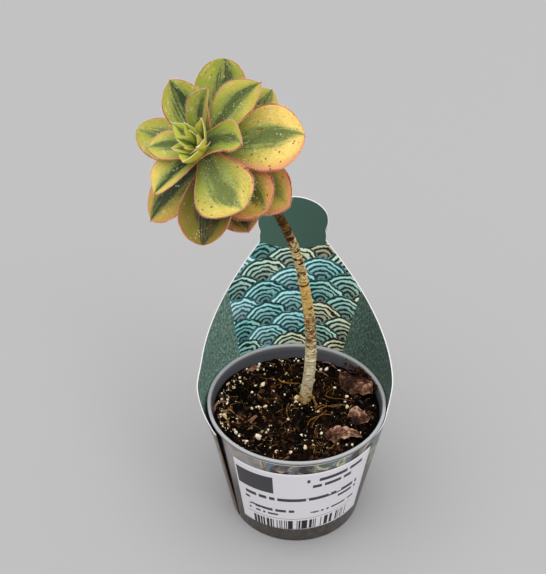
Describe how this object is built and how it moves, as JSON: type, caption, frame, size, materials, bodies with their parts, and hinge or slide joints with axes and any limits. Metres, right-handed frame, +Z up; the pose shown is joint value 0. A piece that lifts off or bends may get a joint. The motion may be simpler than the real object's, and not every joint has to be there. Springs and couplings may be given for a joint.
{
  "type": "potted_succulent",
  "caption": "Potted aeonium: a bare leaning stem with one variegated leaf rosette, rooted in a round nursery pot inside a tapered printed card sleeve with a tall back panel",
  "frame": {"origin": "middle of the pot's flat bottom, on the surface it stands on", "axes": "+Z up through the pot; the sleeve's tall panel stands at +Y, the label faces -Y, and the stem leans towards -X"},
  "size_m": [0.1372, 0.1308, 0.2919],
  "materials": {
    "leaf_green": "satin, fleshy",
    "bud_green": "satin, fleshy",
    "stem_bark": "rough, ringed with leaf scars",
    "soil_peat": "coarse and damp",
    "pot_plastic": "satin",
    "card_print": "matt print on card",
    "label_paper": "matt",
    "dry_leaf_skin": "dry and crumpled"
  },
  "bodies": {
    "root": {"pot": "pot_plastic", "soil": "soil_peat", "stem": "stem_bark", "sleeve": "card_print", "label": "label_paper", "dry_leaf_1": "dry_leaf_skin", "dry_leaf_2": "dry_leaf_skin", "dry_leaf_3": "dry_leaf_skin", "heart": "bud_green", "leaf_01": "leaf_green", "leaf_02": "leaf_green", "leaf_03": "leaf_green", "leaf_04": "leaf_green", "leaf_05": "leaf_green", "leaf_06": "leaf_green", "leaf_07": "leaf_green", "leaf_08": "leaf_green", "leaf_09": "leaf_green", "leaf_10": "leaf_green", "leaf_11": "leaf_green", "leaf_12": "leaf_green", "leaf_13": "leaf_green", "leaf_14": "leaf_green", "leaf_15": "leaf_green", "leaf_16": "leaf_green"}
  },
  "joints": []
}
